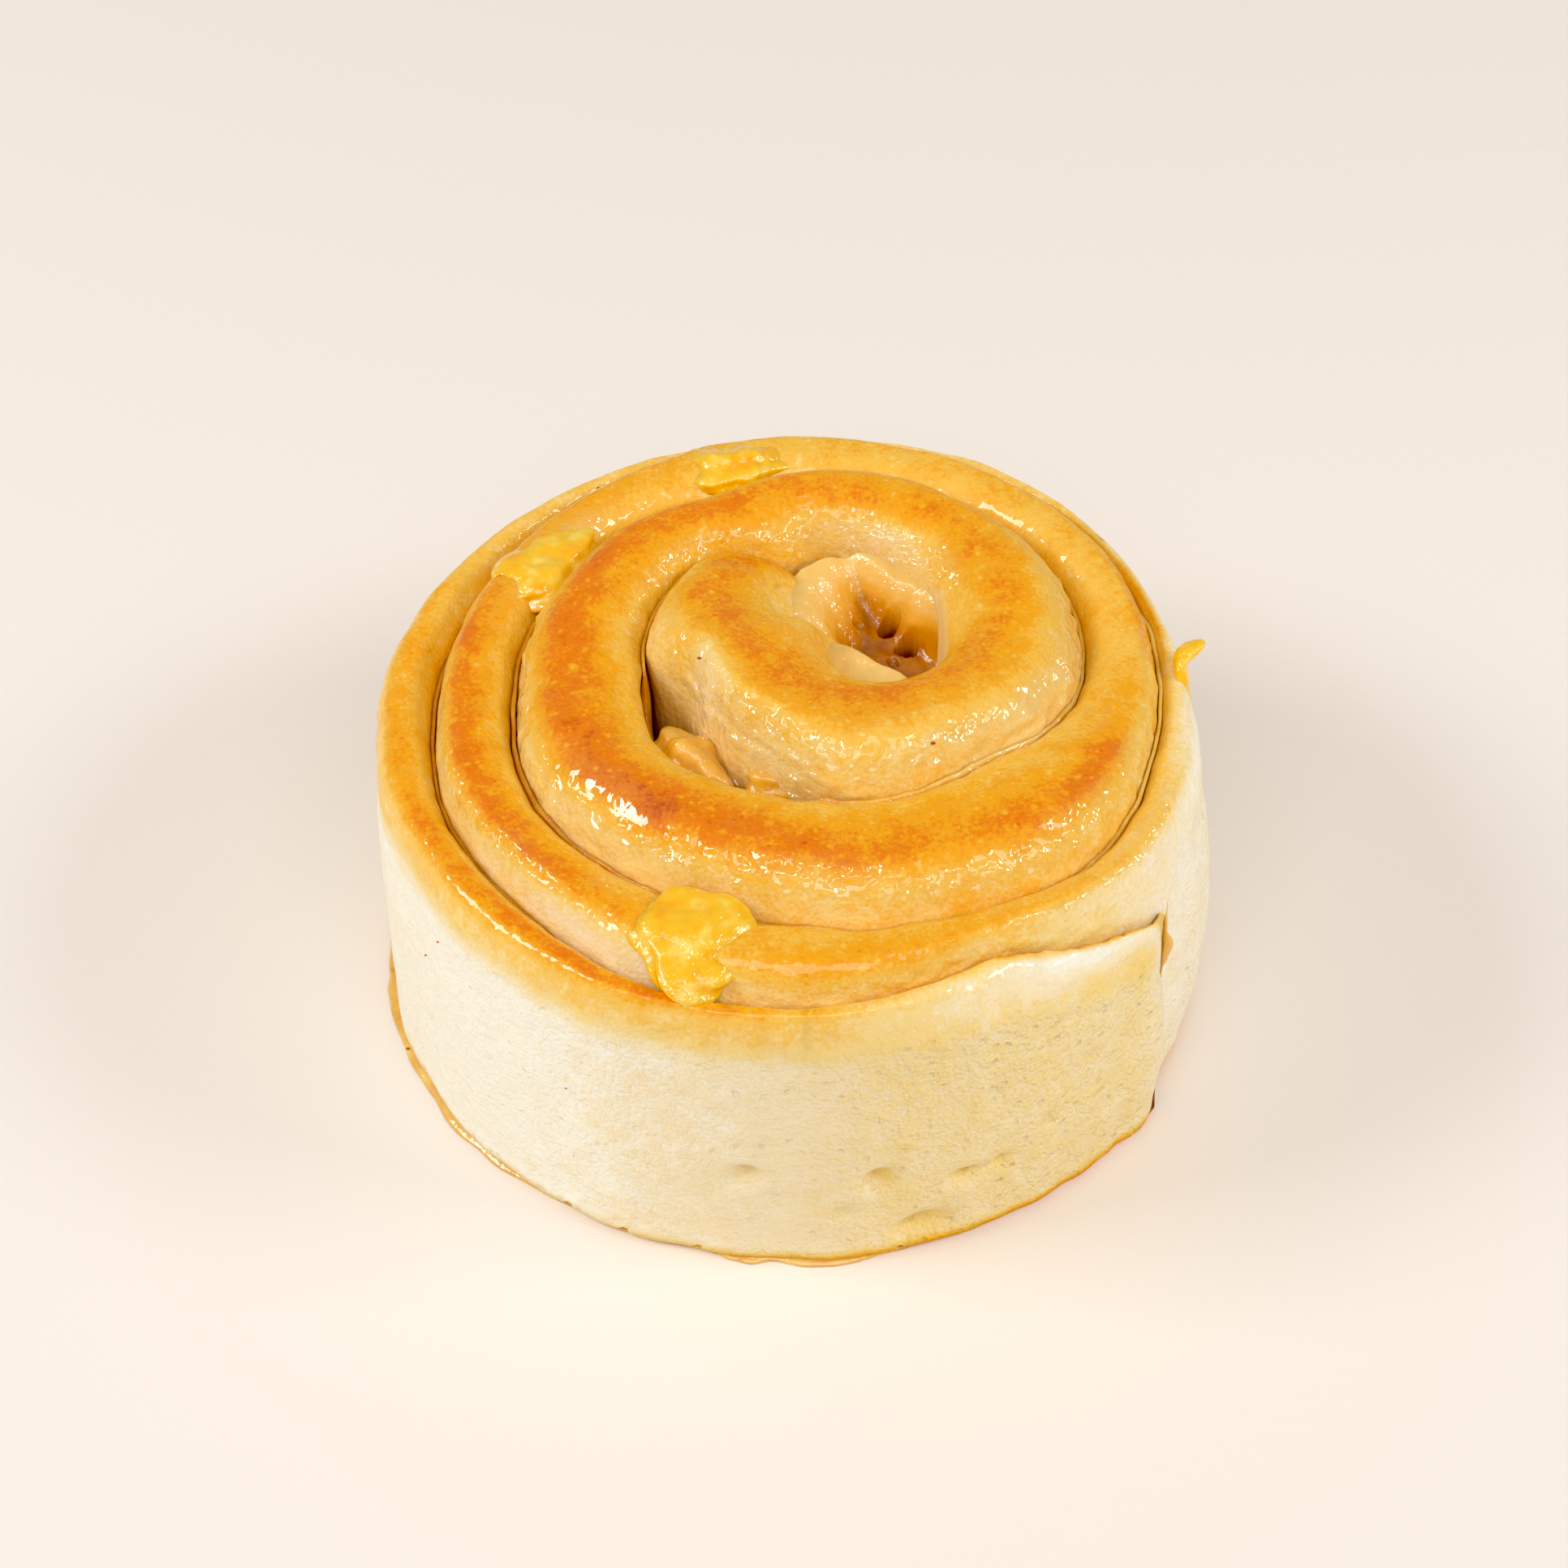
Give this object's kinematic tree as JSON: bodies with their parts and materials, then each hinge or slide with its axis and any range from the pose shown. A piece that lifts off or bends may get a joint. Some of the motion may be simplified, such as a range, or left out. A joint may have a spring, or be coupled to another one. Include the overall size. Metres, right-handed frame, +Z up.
{
  "type": "apple pastry roll",
  "caption": "Round glazed bun: a strip of dough rolled into a spiral, with apple filling in its seam and its eye and apple pieces on its crowns.",
  "frame": {"origin": "middle of the bun's flat base, where it lies on a table", "axes": "+Z up through the bun, +Y towards its back, +X towards its right side, where the strip's loose end is"},
  "size_m": [0.0912, 0.092, 0.0468],
  "materials": {
    "dough": "baked yeast dough, golden brown and glazed on the crowns, pale and matt on the side",
    "filling": "cooked apple filling, soft, wet and glossy",
    "apple": "candied apple pieces, clear yellow and glossy"
  },
  "bodies": {
    "root": {"dough_roll": "dough", "apple_filling_layer": "filling", "apple_filling_eye": "filling", "apple_piece_front": "apple", "apple_piece_back_left": "apple", "apple_piece_back": "apple", "apple_piece_pocket_left": "apple", "apple_piece_pocket_front": "apple", "apple_shred_right": "apple"}
  },
  "joints": []
}
